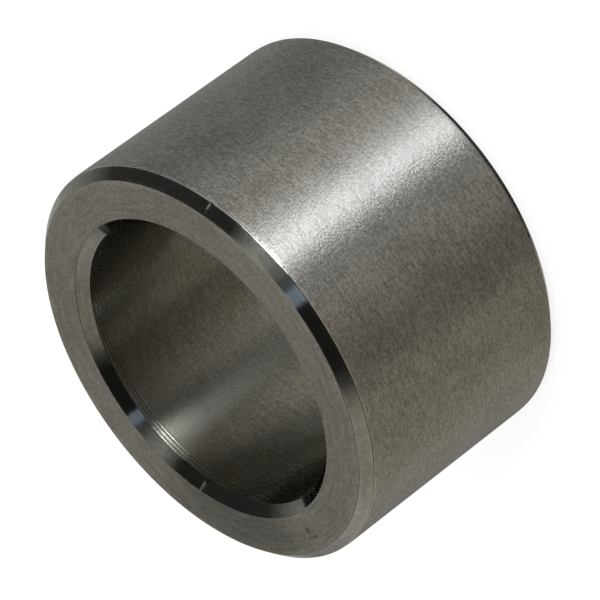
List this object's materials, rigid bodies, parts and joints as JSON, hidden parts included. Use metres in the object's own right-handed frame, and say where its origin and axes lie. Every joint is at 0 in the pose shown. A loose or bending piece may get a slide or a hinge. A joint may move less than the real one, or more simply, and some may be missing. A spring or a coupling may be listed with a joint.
{
  "type": "spacer sleeve",
  "caption": "Short turned steel ring with a plain bore and chamfered rims, which slides on a shaft and holds two parts a set distance apart.",
  "frame": {"origin": "centre of the lower end face, which the sleeve stands on", "axes": "+Z along the bore axis, up from the lower end face to the upper one; X and Y are any two directions across it"},
  "size_m": [0.042, 0.042, 0.026],
  "materials": {
    "turned_steel": "satin, turned and fine ground round the outside, brighter on the chamfers"
  },
  "bodies": {
    "root": {"sleeve": "turned_steel"}
  },
  "joints": []
}
